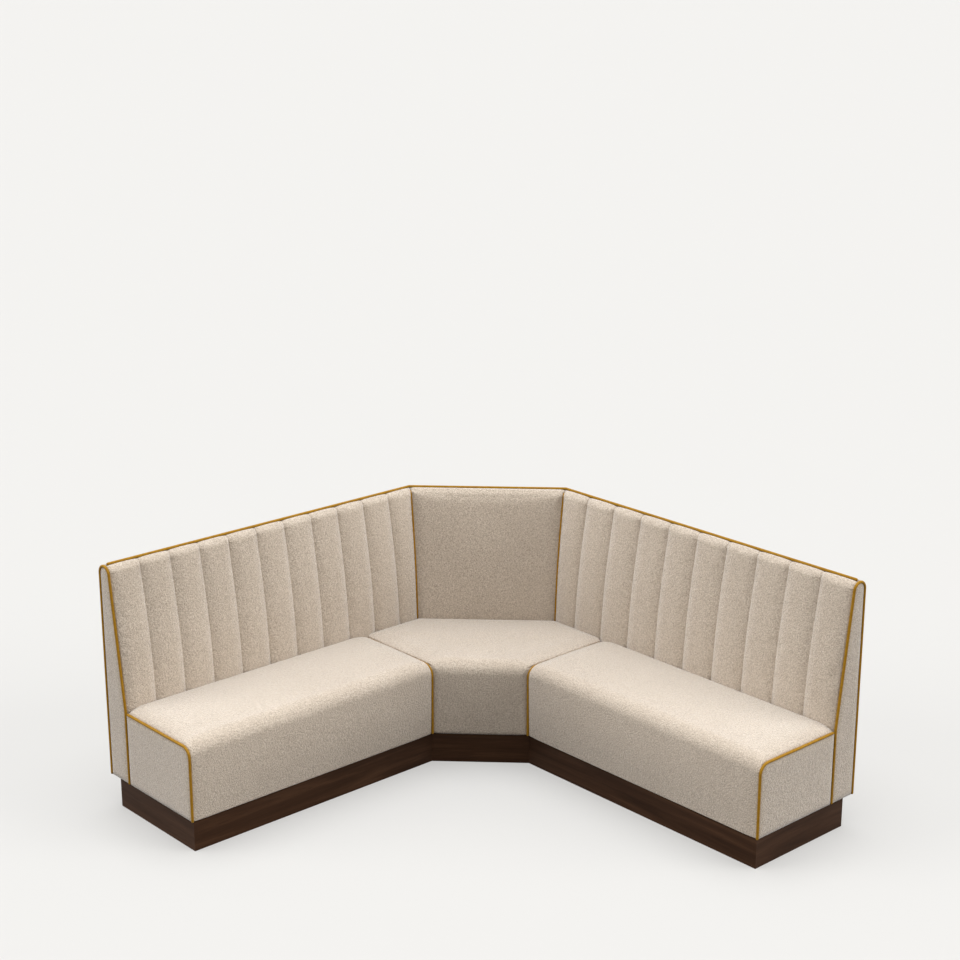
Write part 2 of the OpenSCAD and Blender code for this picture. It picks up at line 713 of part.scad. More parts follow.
plinth_front_left();
plinth_front_corner();
plinth_front_right();
plinth_end_left();
plinth_end_right();
plinth_rear_left();
plinth_rear_corner();
plinth_rear_right();
plinth_cross_pieces();
seat_front_board_left();
seat_front_board_corner();
seat_front_board_right();
seat_rear_board_left();
seat_rear_boards_corner();
seat_rear_board_right();
seat_end_boards_left();
seat_end_boards_corner();
seat_end_boards_right();
seat_ribs_left();
seat_ribs_corner();
seat_ribs_right();
seat_deck_left();
seat_deck_corner();
seat_deck_right();
seat_cushion_left();
seat_cushion_corner();
seat_cushion_right();
seat_front_pad_left();
seat_front_pad_corner();
seat_front_pad_right();
seat_end_pad_left();
seat_end_pad_right();
back_ribs_left();
back_ribs_corner();
back_ribs_right();
back_rails_left();
back_rails_corner();
back_rails_right();
back_board_left();
back_board_corner();
back_board_right();
back_pad_left();
back_pad_corner();
back_pad_right();
back_rear_cover_left();
back_rear_cover_corner();
back_rear_cover_right();
back_end_pad_left();
back_end_pad_right();
top_piping();
back_end_piping_left();
back_end_piping_right();
back_joint_piping();
seat_end_piping_left();
seat_end_piping_right();
seat_joint_piping();
joining_bolts();
joining_nuts();
back_screws();
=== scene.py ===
"""The looks of a corner banquette bench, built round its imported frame. Metres, +Z up."""
import json
import math

import bmesh
import bpy
import numpy as np
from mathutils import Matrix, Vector


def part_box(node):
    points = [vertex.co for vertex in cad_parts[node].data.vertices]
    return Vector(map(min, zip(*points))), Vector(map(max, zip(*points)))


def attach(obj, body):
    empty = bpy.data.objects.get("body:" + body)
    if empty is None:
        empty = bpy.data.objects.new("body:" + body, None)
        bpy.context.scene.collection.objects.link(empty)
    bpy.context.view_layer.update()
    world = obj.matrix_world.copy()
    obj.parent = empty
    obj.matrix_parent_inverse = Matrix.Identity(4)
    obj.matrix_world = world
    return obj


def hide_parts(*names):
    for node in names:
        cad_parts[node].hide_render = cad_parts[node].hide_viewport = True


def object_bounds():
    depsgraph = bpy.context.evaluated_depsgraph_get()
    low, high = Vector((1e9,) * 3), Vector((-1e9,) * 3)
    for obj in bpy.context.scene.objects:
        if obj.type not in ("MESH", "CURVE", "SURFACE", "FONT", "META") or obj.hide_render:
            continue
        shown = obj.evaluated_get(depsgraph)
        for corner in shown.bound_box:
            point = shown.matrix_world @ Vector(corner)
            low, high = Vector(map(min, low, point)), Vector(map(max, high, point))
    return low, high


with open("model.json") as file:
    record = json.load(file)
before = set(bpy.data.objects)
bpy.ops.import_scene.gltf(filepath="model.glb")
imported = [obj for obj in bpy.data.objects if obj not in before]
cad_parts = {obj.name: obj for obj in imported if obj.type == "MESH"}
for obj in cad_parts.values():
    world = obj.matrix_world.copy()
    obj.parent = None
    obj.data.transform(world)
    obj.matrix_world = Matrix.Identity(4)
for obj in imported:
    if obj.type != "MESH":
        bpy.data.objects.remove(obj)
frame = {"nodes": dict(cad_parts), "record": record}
CAD_LOW, CAD_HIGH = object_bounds()

# Sizes that the frame gives
ROOM_X, ROOM_Y, TOTAL_H = CAD_HIGH
LEFT_LEN = CAD_HIGH.x - CAD_LOW.x
RIGHT_LEN = CAD_HIGH.y - CAD_LOW.y
TOTAL_D = ROOM_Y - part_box("seat_end_piping_left")[0].y
BACK_D = ROOM_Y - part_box("back_end_piping_left")[0].y
SEAT_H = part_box("seat_end_piping_left")[1].z
PLINTH_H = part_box("plinth_front_left")[1].z
DECK_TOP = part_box("seat_deck_left")[1].z
BASE_FRONT_D = ROOM_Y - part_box("seat_front_board_left")[0].y
PAD_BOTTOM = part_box("back_pad_left")[0].z
PIPE_R = (TOTAL_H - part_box("top_piping")[0].z) / 2

# Sizes that the solids share. Clearance between soft pieces:
GAP = 0.0003
# Where the slanted back and the joint of the seats meet a wall, from the corner of the room
CUT = 0.54
JOINT = 0.915
# The backs: radius of the rounded top, thickness of the pads, covers and end panels, and flutes
ARCH_R = 0.04
PAD_T = 0.045
COVER_T = 0.008
END_PAD_T = 0.008
FLUTES = {"left": 11, "right": 10}
# The seats: rise of the crown and its run from each end, front edge, and fall at the rear
CROWN = 0.028
END_ROLL = 0.085
EDGE_R = 0.05
REAR_ROLL = 0.04
REAR_DROP = 0.012
# The grooves in which piping lies
GROOVE_HALF = PIPE_R * 1.3
GROOVE_DEPTH = PIPE_R * 1.75

ARCH_Z = TOTAL_H - PIPE_R - ARCH_R
SHOULDER_D = BACK_D - PAD_T
MITRE = math.radians(22.5)
MITRE_K = math.tan(MITRE)
ROOT2 = math.sqrt(2)

# Spacing of points along sections and cords, up the face of a back, and where little bends
STEP = 0.012
FACE_STEP = 0.011
LONG_STEP = 0.02
# How strongly rings crowd towards seams, and the range of wavelengths in a ripple, as shares
CROWDING = 1.5
WAVE_SPREAD = (0.6, 1.7)


def smooth(x):
    """0 to 1 with level ends."""
    x = np.clip(x, 0, 1)
    return x * x * (3 - 2 * x)


def mix(a, b, t):
    return a + (b - a) * t


def rolled(distance, reach):
    """The share of a round edge's fall at a distance from it: 1 at the edge, 0 past its reach."""
    near = np.clip(1 - distance / reach, 0, 1)
    return 1 - np.sqrt(1 - near ** 2)


def crowded(count):
    """Places from -1 to 1 that lie closer together towards both ends."""
    x = np.linspace(-1, 1, count)
    return np.sign(x) * (1 - (1 - np.abs(x)) ** CROWDING)


def eased(count):
    """Shares from 0 to 1 that lie closer together towards both ends."""
    return (1 - np.cos(np.linspace(0, np.pi, count))) / 2


def quarter(count):
    """The angles of a quarter turn."""
    return np.linspace(0, np.pi / 2, count)


def ripple(points, wavelength, seed, waves=14):
    """Smooth seeded noise from -1 to 1 or so at each point, made of plane waves."""
    rng = np.random.default_rng(seed)
    points = np.asarray(points, float)
    heading = rng.normal(size=(waves, points.shape[-1]))
    heading /= np.linalg.norm(heading, axis=1)[:, None]
    number = 2 * np.pi / (wavelength * rng.uniform(*WAVE_SPREAD, waves))
    phase = rng.uniform(0, 2 * np.pi, waves)
    total = np.zeros(points.shape[:-1])
    for h, k, p in zip(heading, number, phase):
        total += np.sin(points @ h * k + p)
    return total / math.sqrt(waves / 2)


# Places: along a side from the corner of the room, out from its wall, and up


def on_left(p):
    return np.stack([ROOM_X - p[..., 0], ROOM_Y - p[..., 1], p[..., 2]], -1)


def on_right(p):
    return np.stack([ROOM_X - p[..., 1], ROOM_Y - p[..., 0], p[..., 2]], -1)


def on_corner(p):
    """The same for the slanted back, with the place along it counted from its middle."""
    x = ROOM_X - CUT / 2 - (p[..., 0] + p[..., 1]) / ROOT2
    y = ROOM_Y - CUT / 2 + (p[..., 0] - p[..., 1]) / ROOT2
    return np.stack([x, y, p[..., 2]], -1)


SIDES = {"left": (on_left, LEFT_LEN), "right": (on_right, RIGHT_LEN)}


def side_end(length):
    """Where the soft parts of a side end, inside the piping at its free end."""
    return length - 2 * PIPE_R - GAP


def mitre_at(d):
    """Where a side's back meets the slanted one, at a distance from the wall."""
    return CUT + d * MITRE_K


def slant_half(d):
    """Half the width of the slanted back at a distance from its rear."""
    return CUT / ROOT2 - d * MITRE_K


# Meshes

WELD = 1e-5


def add_to_scene(name, data):
    obj = bpy.data.objects.new(name, data)
    bpy.context.scene.collection.objects.link(obj)
    return obj


def solid(name, *parts, pins=None):
    """One object of closed solids, each a stack of rings: an array of ring, point and place.
    Pins are the points of the only solid that a simulation leaves in place."""
    bm = bmesh.new()
    layer = bm.verts.layers.float.new("pin")
    for rings in parts:
        m, n = rings.shape[:2]
        verts = [bm.verts.new(p) for p in rings.reshape(-1, 3)]
        if pins is not None:
            for vert, pin in zip(verts, pins.reshape(-1)):
                vert[layer] = float(pin)
        for j in range(m - 1):
            for i in range(n):
                k = (i + 1) % n
                low, high = j * n, (j + 1) * n
                bm.faces.new([verts[low + i], verts[low + k], verts[high + k], verts[high + i]])
        bm.faces.new(verts[:n][::-1])
        bm.faces.new(verts[-n:])
    bmesh.ops.remove_doubles(bm, verts=bm.verts, dist=WELD)
    bmesh.ops.recalc_face_normals(bm, faces=bm.faces)
    mesh = bpy.data.meshes.new(name)
    bm.to_mesh(mesh)
    bm.free()
    mesh.shade_smooth()
    return add_to_scene(name, mesh)


TUBE_SIDES = 16
# The rounded end of a cord: places from its tip and radii there, both as shares of its radius
TUBE_END = [(0.0, 0.05), (0.25, 0.66), (0.65, 0.94)]
# A direction that no cord takes
ACROSS = [0.31, 0.57, 0.76]


def tube(path, radius):
    """Rings of a round cord along a path of points, with rounded ends."""
    path = np.asarray(path, float)
    step = np.diff(path, axis=0)
    step /= np.linalg.norm(step, axis=1)[:, None]
    tangent = np.vstack([step[:1], step[:-1] + step[1:], step[-1:]])
    tangent /= np.linalg.norm(tangent, axis=1)[:, None]
    first, last = tangent[0], tangent[-1]
    stations = [(path[0] + first * radius * a, first, b) for a, b in TUBE_END]
    stations += [(path[0] + first * radius, first, 1.0)]
    stations += [(p, t, 1.0) for p, t in zip(path[1:-1], tangent[1:-1])]
    stations += [(path[-1] - last * radius, last, 1.0)]
    stations += [(path[-1] - last * radius * a, last, b) for a, b in TUBE_END[::-1]]
    turns = 2 * np.pi * np.arange(TUBE_SIDES) / TUBE_SIDES
    up = np.cross(first, ACROSS)
    rings = []
    for p, t, share in stations:
        up = up - t * (up @ t)
        up /= np.linalg.norm(up)
        ring = np.cos(turns)[:, None] * up + np.sin(turns)[:, None] * np.cross(t, up)
        rings.append(p + ring * radius * share)
    return np.array(rings)


def fill_path(corners, step):
    """Points every step or less along straight lines between corners."""
    corners = [np.asarray(c, float) for c in corners]
    out = [corners[0]]
    for a, b in zip(corners, corners[1:]):
        count = max(1, math.ceil(np.linalg.norm(b - a) / step))
        out += [mix(a, b, s / count) for s in range(1, count + 1)]
    return np.array(out)


# Backs. Their sections hold the distance from the wall and the height.

# Depth of the seams between flutes, reach of the tight roll beside a seam and its share of the
# depth, power of the wide fall that takes the rest, and the share of the depth left at the crest
FLUTE_DEPTH = 0.014
SEAM_ROLL = 0.016
SEAM_SHARE = 0.45
FLUTE_POWER = 3
CREST_SHARE = 0.45
# Reach of the roll at the ends of the plain back, and the swell of all backs between foot and arch
PLAIN_ROLL = 0.026
BULGE = 0.012
# Gathers at a seam: their reach from it, depth and wavelength, and the strip in which they fade in
PUCKER_REACH = 0.022
PUCKER_DEPTH = 0.0009
PUCKER_LENGTH = 0.021
PUCKER_FADE = 0.004
PUCKER_WAVES = 8
FLUTE_SEEDS = {"left": 100, "right": 150}
PLAIN_SEEDS = (71, 72)
# A back's cover is held further than this under the seat's edge, and nearer than this to its crest
BACK_HELD = 0.02
CREST_HELD = 0.011
# Counts of rings across a flute and across the plain back, and of points over the arch
FLUTE_RINGS = 25
PLAIN_RINGS = 61
ARCH_POINTS = 15


def rake(i):
    """The angle on the arch where the straight face of a back meets it, both moved in by i."""
    v = np.array([BACK_D - i - ARCH_R, SEAT_H - ARCH_Z])
    return math.atan2(v[1], v[0]) + math.acos((ARCH_R - i) / np.linalg.norm(v))


def arch_point(i, angle):
    r = ARCH_R - i
    return np.array([ARCH_R + r * math.cos(angle), ARCH_Z + r * math.sin(angle)])


def bulge(z):
    """How far the backs and the piping between them stand out at a height."""
    return BULGE * np.sin(np.pi * np.clip((z - PAD_BOTTOM) / (ARCH_Z - PAD_BOTTOM), 0, 1))


def pad_face():
    """The front of a back pad, from its foot over the arch to the piping: points, outward normals
    and, for each point, the share of a seam's depth that it takes."""
    front = BACK_D - GAP
    lean = rake(0)
    foot = fill_path([(front, PAD_BOTTOM), (front, SEAT_H)], STEP)[:-1]
    face = fill_path([(front, SEAT_H), arch_point(0, lean)], FACE_STEP)
    turns = np.linspace(lean, math.acos(GROOVE_HALF / ARCH_R), ARCH_POINTS)[1:]
    points = np.vstack([foot, face, [arch_point(0, a) for a in turns]])
    normals = np.vstack([
        np.tile([1.0, 0.0], (len(foot), 1)),
        np.tile([math.cos(lean), math.sin(lean)], (len(face), 1)),
        np.stack([np.cos(turns), np.sin(turns)], 1),
    ])
    share = np.concatenate([
        np.ones(len(foot) + len(face)),
        mix(1, CREST_SHARE, np.linspace(0, 1, ARCH_POINTS)[1:]),
    ])
    return points, normals, share


def pad_back():
    """The hidden rear of a back pad, from the piping down to its foot."""
    rear = ARCH_R + GAP
    return np.array([
        (rear, ARCH_Z + ARCH_R - GROOVE_DEPTH), (rear, ARCH_Z), (SHOULDER_D, PAD_BOTTOM)
    ])


def pad_held(points):
    """Which points of a back's ring stay in place: its foot, its crest and all of its rear."""
    held = (points[:, 1] < SEAT_H - BACK_HELD) | (points[:, 1] > TOTAL_H - CREST_HELD)
    return np.append(held, [True] * len(pad_back()))


def flute_fall(distance, half):
    """How far the cover of a flute lies in from its peak, at a distance from the nearest seam."""
    wide = (1 - np.clip(distance / half, 0, 1)) ** FLUTE_POWER
    return FLUTE_DEPTH * (SEAM_SHARE * rolled(distance, SEAM_ROLL) + (1 - SEAM_SHARE) * wide)


def pucker(distance, along, seed):
    """Small gathers that stand square to a seam and fade away from it."""
    wave = ripple(np.asarray(along)[..., None], PUCKER_LENGTH, seed, PUCKER_WAVES)
    near = np.clip(1 - distance / PUCKER_REACH, 0, 1)
    return PUCKER_DEPTH * wave * near * np.clip(distance / PUCKER_FADE, 0, 1)


def side_pad(side):
    """Rings and pins of a fluted back."""
    place, length = SIDES[side]
    flutes = FLUTES[side]
    points, normals, share = pad_face()
    heights = points[:, 1]
    crest = mitre_at(ARCH_R)
    pitch = (side_end(length) - crest) / flutes
    shares = crowded(FLUTE_RINGS)
    held = pad_held(points)
    rings, pins = [], []
    for f in range(flutes):
        for t in shares if f == flutes - 1 else shares[:-1]:
            distance = (1 - abs(t)) * pitch / 2
            seed = FLUTE_SEEDS[side] + f + (1 if t > 0 else 0)
            fall = flute_fall(distance, pitch / 2) * share
            fall = fall + pucker(distance, heights, seed) - bulge(heights)
            section = np.vstack([points - normals * fall[:, None], pad_back()])
            start = mitre_at(section[:, 0]) + GAP if f == 0 else crest + f * pitch
            u = mix(start, crest + (f + 1) * pitch, (t + 1) / 2) * np.ones(len(section))
            rings.append(np.column_stack([u, section]))
            pins.append(held | (abs(t) == 1))
    return place(np.array(rings)), np.array(pins)


def corner_pad():
    """Rings and pins of the plain back."""
    points, normals, share = pad_face()
    heights = points[:, 1]
    half = slant_half(BACK_D)
    held = pad_held(points)
    rings, pins = [], []
    for t in crowded(PLAIN_RINGS):
        distance = (1 - abs(t)) * half
        fall = FLUTE_DEPTH * rolled(distance, PLAIN_ROLL) * share
        fall = fall + pucker(distance, heights, PLAIN_SEEDS[0 if t > 0 else 1]) - bulge(heights)
        section = np.vstack([points - normals * fall[:, None], pad_back()])
        rings.append(np.column_stack([t * (slant_half(section[:, 0]) - GAP), section]))
        pins.append(held | (abs(t) == 1))
    return on_corner(np.array(rings)), np.array(pins)


# Seats

# Radius of the front edge away from the ends, and the dome of the top and its power
SEAT_EDGE_R = 0.064
SEAT_DOME = 0.004
DOME_POWER = 1.3
# How far the front goes in on its way down and swells between, and the lip at its foot
FRONT_SET = 0.005
FRONT_SWELL = 0.003
LIP_R = 0.006
# How far a cushion leans out over the piping at its joint, up to which share of its rise
PIPING_COVER = 0.0065
PIPING_COVER_END = 0.6
# Of a seat's cover the frame holds this much above the plinth, what is this near to the back, to
# the deck, to the front board or to the edge of a joint, and its ends to this share of their rise
FOOT_HELD = 0.02
REAR_HELD = 0.004
DECK_HELD = 0.001
BOARD_HELD = 0.002
EDGE_HELD = 0.002
RISE_HELD = 0.3
# Where the cover starts at a free end: how deep it is hidden and how far in it comes out
FREE_END_HIDDEN = 3 * PIPE_R
FREE_END_EDGE = PIPE_R / 4
# Counts of points in a seat's section: up its rear, round its fall, across its top, round its front
# edge and down its front
REAR_POINTS, FALL_POINTS, TOP_POINTS, EDGE_POINTS, FRONT_POINTS = 4, 9, 36, 15, 26
# Counts of stations at its ends: up to the edge and up the crown
EDGE_STATIONS, CROWN_STATIONS = 4, 19


def seat_ring(top, front, edge_r, dome, swell):
    """Section of a seat's cover: up its hidden rear, over its top, down its front and inside."""
    rear = BACK_D + GAP
    inner = BASE_FRONT_D + GAP
    s = np.arange(REAR_POINTS) / REAR_POINTS
    rise = np.stack([np.full(REAR_POINTS, rear), mix(DECK_TOP, top - REAR_DROP, s)], 1)
    turn = quarter(FALL_POINTS)
    fall = np.stack([
        rear + REAR_ROLL * (1 - np.cos(turn)), top - REAR_DROP * (1 - np.sin(turn))
    ], 1)
    s = np.linspace(0, 1, TOP_POINTS)[1:-1]
    flat = np.stack([
        mix(rear + REAR_ROLL, front - edge_r, s), top + dome * np.sin(np.pi * s) ** DOME_POWER
    ], 1)
    edge_turn = quarter(EDGE_POINTS)
    roll = np.stack([
        front - edge_r + edge_r * np.sin(edge_turn), top - edge_r + edge_r * np.cos(edge_turn)
    ], 1)
    s = np.linspace(0, 1, FRONT_POINTS)[1:]
    face = np.stack([
        front + swell * np.sin(np.pi * s) - FRONT_SET * s, mix(top - edge_r, PLINTH_H + LIP_R, s)
    ], 1)
    lip_turn = turn[2::2]
    lip = np.stack([
        front - FRONT_SET - LIP_R + LIP_R * np.cos(lip_turn),
        PLINTH_H + LIP_R - LIP_R * np.sin(lip_turn),
    ], 1)
    inside = np.array([
        (inner, PLINTH_H), (inner, mix(PLINTH_H, DECK_TOP, 0.5)), (inner, DECK_TOP),
        (mix(rear, BASE_FRONT_D, 0.5), DECK_TOP),
    ])
    return np.vstack([rise, fall, flat, roll, face, lip, inside])


def over_piping(share):
    """How far a cushion leans out over the piping at its joint, at a share of its rise."""
    return PIPING_COVER * math.sin(math.pi * min(share / PIPING_COVER_END, 1))


def seat_end_stations(joint):
    """From the end of a seat inwards: the distance from it, how far its cover lies below and behind
    its full form, and the share of its rise that is done."""
    hidden = PIPE_R + GROOVE_DEPTH if joint else FREE_END_HIDDEN
    edge = GROOVE_HALF if joint else FREE_END_EDGE
    out = [(GAP / 2, hidden, hidden, 0.0)]
    for s in np.linspace(0, 1, EDGE_STATIONS)[1:]:
        depth = mix(hidden, PIPE_R, math.sin(s * np.pi / 2))
        out.append((mix(GAP / 2, edge, s), depth, depth, 0.0))
    for s in np.linspace(0, 1, CROWN_STATIONS)[1:]:
        e = math.sqrt(1 - (1 - s * s) ** 2)
        lean = over_piping(s) if joint else 0.0
        out.append((edge + END_ROLL * s * s - lean, PIPE_R - CROWN * e, PIPE_R * (1 - e), e))
    return out


def side_seat(side):
    """Rings and pins of a straight seat."""
    place, length = SIDES[side]
    start, end = JOINT, side_end(length) + GAP / 2
    first, last = seat_end_stations(True), seat_end_stations(False)
    middle = end - start - first[-1][0] - last[-1][0]
    count = math.ceil(middle / STEP)
    stations = [(start + h[0], *h[1:]) for h in first]
    stations += [
        (start + first[-1][0] + middle * k / count, *first[-1][1:]) for k in range(1, count)
    ]
    stations += [(end - h[0], *h[1:]) for h in last[::-1]]
    rings, pins = [], []
    for u, i_top, i_front, e in stations:
        ring = seat_ring(
            SEAT_H - i_top, TOTAL_D - i_front, mix(EDGE_R - i_front, SEAT_EDGE_R, e),
            SEAT_DOME * e, FRONT_SWELL * e)
        rings.append(np.column_stack([np.full(len(ring), u), ring]))
        d, z = ring.T
        hidden = (z < PLINTH_H + FOOT_HELD) | (d < BACK_D + REAR_HELD)
        inside = (z < DECK_TOP + DECK_HELD) & (d < BASE_FRONT_D + BOARD_HELD)
        pins.append(hidden | inside | (e < RISE_HELD))
    return place(np.array(rings)), np.array(pins)


# The corner seat in plan, from the middle of the slanted back's rear: x along it and y out from it

CORNER_EDGE_Z = SEAT_H - PIPE_R
CORNER_TOP = CORNER_EDGE_Z + CROWN
CORNER_DOME = 0.007
# Distances of its lines: joint with a side's seat, back of a side, and front
JOINT_OFFSET = JOINT - CUT / 2
SIDE_BACK_OFFSET = CUT / 2 - BACK_D
SLANT_FRONT = (TOTAL_D + JOINT - CUT) / ROOT2
FRONT_D = TOTAL_D - PIPE_R
# The short line between front and joint, which leaves room for the piping there
NOTCH_ANGLE = math.pi / 2 - MITRE
NOTCH_WAY = [math.cos(NOTCH_ANGLE), math.sin(NOTCH_ANGLE)]
PIPE_AT = np.array([(JOINT - FRONT_D) / ROOT2, (JOINT + FRONT_D - CUT) / ROOT2])
NOTCH_OFFSET = PIPE_AT @ NOTCH_WAY - PIPE_R - GAP
LEAST_CUT = 0.002
# Counts of points along its eight edges, of which the fifth is the front
EDGE_COUNTS = (34, 12, 34, 4, 40, 4, 34, 12)
FRONT_EDGE = 4
# Counts of its levels, in front of the boards, up its walls, in grooves and up the crown, and of
# the rings across its top
APRON_LEVELS, WALL_LEVELS, GROOVE_LEVELS, CROWN_LEVELS, TOP_RINGS = 16, 9, 4, 20, 26


def meet(a, p, b, q):
    """Where two lines meet, each given by its normal's angle and its distance from the origin."""
    x = p * math.sin(b) - q * math.sin(a)
    y = q * math.cos(a) - p * math.cos(b)
    return np.array([x, y]) / math.sin(b - a)


def corner_outline(i_front, i_joint, i_rear):
    """Plan of the corner seat moved in at its front, at its joints and at its rear."""
    slant = math.pi / 4
    joint, front = JOINT_OFFSET - i_joint, SLANT_FRONT - i_front
    rear, side_back = -BACK_D - i_rear, SIDE_BACK_OFFSET - i_rear
    tip = meet(slant, joint, np.pi / 2, front)
    cut = min(NOTCH_OFFSET, tip @ NOTCH_WAY - LEAST_CUT)
    lines = [
        (-np.pi / 2, rear), (-slant, side_back), (slant, joint), (NOTCH_ANGLE, cut),
        (np.pi / 2, front), (np.pi - NOTCH_ANGLE, cut), (np.pi - slant, joint),
        (np.pi + slant, side_back),
    ]
    corners = [meet(*line, *after) for line, after in zip(lines, lines[1:] + lines[:1])]
    out = []
    for i, count in enumerate(EDGE_COUNTS):
        a, b = corners[i - 1], corners[i]
        out += [mix(a, b, k / count) for k in range(count)]
    return np.array(out)


def corner_seat():
    """Rings and pins of the corner seat, whose rings are level and close in on its middle."""
    roll_z = CORNER_TOP - SEAT_EDGE_R
    board = SLANT_FRONT - (TOTAL_D - BASE_FRONT_D)

    def front_in(z):
        e = min(max((z - roll_z) / SEAT_EDGE_R, 0), 1)
        set_back = FRONT_SET * (1 - min((z - PLINTH_H) / (roll_z - PLINTH_H), 1))
        return SEAT_EDGE_R * (1 - math.sqrt(1 - e * e)) + set_back

    def joint_in(z):
        if z <= CORNER_EDGE_Z - GROOVE_DEPTH:
            return GAP / 2
        if z <= CORNER_EDGE_Z:
            return mix(GAP / 2, GROOVE_HALF, (z - CORNER_EDGE_Z + GROOVE_DEPTH) / GROOVE_DEPTH)
        e = min((z - CORNER_EDGE_Z) / CROWN, 1)
        run = 1 - math.sqrt(1 - e * e)
        return GROOVE_HALF + END_ROLL * run - over_piping(math.sqrt(run))

    def rear_in(z):
        return GAP + REAR_ROLL * (max(z - CORNER_TOP + REAR_DROP, 0) / REAR_DROP) ** 2

    def ring(z):
        outline = corner_outline(front_in(z), joint_in(z), rear_in(z))
        return np.column_stack([outline, np.full(len(outline), z)])

    def apron(z, most=None):
        """The ring below the deck, where only the strip in front of the boards is left. Its foot
        reaches forward at most so far."""
        r = ring(z)
        line = board + GAP
        reach = (JOINT_OFFSET - GAP) * ROOT2 - line
        r[:, 0] = np.where(r[:, 1] < line, np.clip(r[:, 0], -reach, reach), r[:, 0])
        r[:, 1] = np.clip(r[:, 1], line, most)
        return r

    levels = np.concatenate([
        np.linspace(DECK_TOP, CORNER_EDGE_Z - GROOVE_DEPTH, WALL_LEVELS)[1:],
        np.linspace(CORNER_EDGE_Z - GROOVE_DEPTH, CORNER_EDGE_Z, GROOVE_LEVELS)[1:],
        CORNER_EDGE_Z + CROWN * np.sin(quarter(CROWN_LEVELS)[1:]),
    ])
    rings = [apron(PLINTH_H, SLANT_FRONT - FRONT_SET - LIP_R), apron(PLINTH_H + LIP_R)]
    rings += [apron(z) for z in np.linspace(PLINTH_H + LIP_R, DECK_TOP, APRON_LEVELS)[1:]]
    rings += [ring(DECK_TOP)] + [ring(z) for z in levels]
    last = rings[-1]
    centre = np.array([0, last[:, 1].mean(), CORNER_TOP])
    for s in np.linspace(0, 1, TOP_RINGS)[1:-1]:
        inner = mix(last, centre, s)
        inner[:, 2] = CORNER_TOP + CORNER_DOME * smooth(s)
        rings.append(inner)
    rings = np.array(rings)
    y, z = rings[..., 1], rings[..., 2]
    inside = (z < DECK_TOP + DECK_HELD) & (y < board + BOARD_HELD)
    in_front = np.repeat(np.arange(len(EDGE_COUNTS)), EDGE_COUNTS) == FRONT_EDGE
    edge = (z < CORNER_EDGE_Z + EDGE_HELD) & ~in_front
    return on_corner(rings), (z < PLINTH_H + FOOT_HELD) | inside | edge


# Thin upholstered panels

# A panel across a free end: how far in from the outside of the piping it starts, the height and
# reach of its rim, and the swell of its face
PANEL_INSET = 2 * PIPE_R - 0.002
PANEL_RIM = 0.004
PANEL_ROLL = 0.03
BACK_PANEL_SWELL = 0.0022
SEAT_PANEL_SWELL = 0.0028
# Counts of points across a panel and of levels, up its straight edges and up its arch or roll
PANEL_POINTS = 21
BACK_LEVELS, ARCH_LEVELS = 80, 14
SEAT_LEVELS, ROLL_LEVELS = 28, 12
# The share of a quarter turn at which the top of a back's panel ends
ARCH_END = 0.985
# Keep a square or a length above nothing
LEAST_SQUARE = 1e-7
LEAST_LENGTH = 1e-6
# A rear cover: its bevel at the foot, its fall to a seam and the reach of that, and its waves
REAR_BEVEL = 0.004
REAR_SINK = 0.0026
REAR_SINK_REACH = 0.012
REAR_WAVE = 0.0004
REAR_WAVE_LENGTH = 0.4
REAR_SEEDS = {"left": 11, "right": 12, "corner": 13}
REAR_RINGS, REAR_ARCH_POINTS = 90, 14


def end_panel(side, rear_edge, front_edge, zs, swell):
    """Rings of a panel across the free end of a side. The edges give its reach at each height, and
    its face swells from its rim."""
    place, length = SIDES[side]
    base = side_end(length) + GAP
    w = eased(PANEL_POINTS)
    rings = []
    for z in zs:
        a, b = rear_edge(z), front_edge(z)
        d = mix(a, b, w)
        rim = np.minimum(np.minimum(d - a, b - d), np.minimum(z - zs[0], zs[-1] - z))
        full = np.sqrt(1 - (1 - np.clip(rim / PANEL_ROLL, 0, 1)) ** 2)
        face = base + END_PAD_T - PANEL_RIM + (PANEL_RIM + swell) * full
        front = np.stack([face, d, np.full(len(d), z)], 1)
        rings.append(np.vstack([front, [[base, b, z], [base, mix(a, b, 0.5), z], [base, a, z]]]))
    return place(np.array(rings))


def back_end_panel(side):
    r = ARCH_R - PANEL_INSET
    front = BACK_D - PANEL_INSET
    tangent = arch_point(PANEL_INSET, rake(PANEL_INSET))

    def arch_half(z):
        return math.sqrt(max(r * r - (z - ARCH_Z) ** 2, LEAST_SQUARE))

    def rear_edge(z):
        return ARCH_R - (arch_half(z) if z > ARCH_Z else r)

    def front_edge(z):
        if z > tangent[1]:
            return ARCH_R + arch_half(z)
        rise = max(z - SEAT_H, 0) / (tangent[1] - SEAT_H)
        return min(front, mix(front, tangent[0], rise))

    arch = ARCH_Z + r * np.sin(np.linspace(0, np.pi / 2 * ARCH_END, ARCH_LEVELS))
    zs = np.concatenate([np.linspace(PLINTH_H, ARCH_Z, BACK_LEVELS)[:-1], arch])
    return end_panel(side, rear_edge, front_edge, zs, BACK_PANEL_SWELL)


def seat_end_panel(side):
    r = EDGE_R - PANEL_INSET
    edge_z = SEAT_H - EDGE_R

    def front_edge(z):
        lift = max(z - edge_z, 0)
        return TOTAL_D - EDGE_R + math.sqrt(max(r * r - lift * lift, LEAST_SQUARE))

    roll = edge_z + r * np.sin(quarter(ROLL_LEVELS))
    zs = np.concatenate([np.linspace(PLINTH_H, edge_z, SEAT_LEVELS)[:-1], roll])
    return end_panel(side, lambda z: BACK_D + GAP, front_edge, zs, SEAT_PANEL_SWELL)


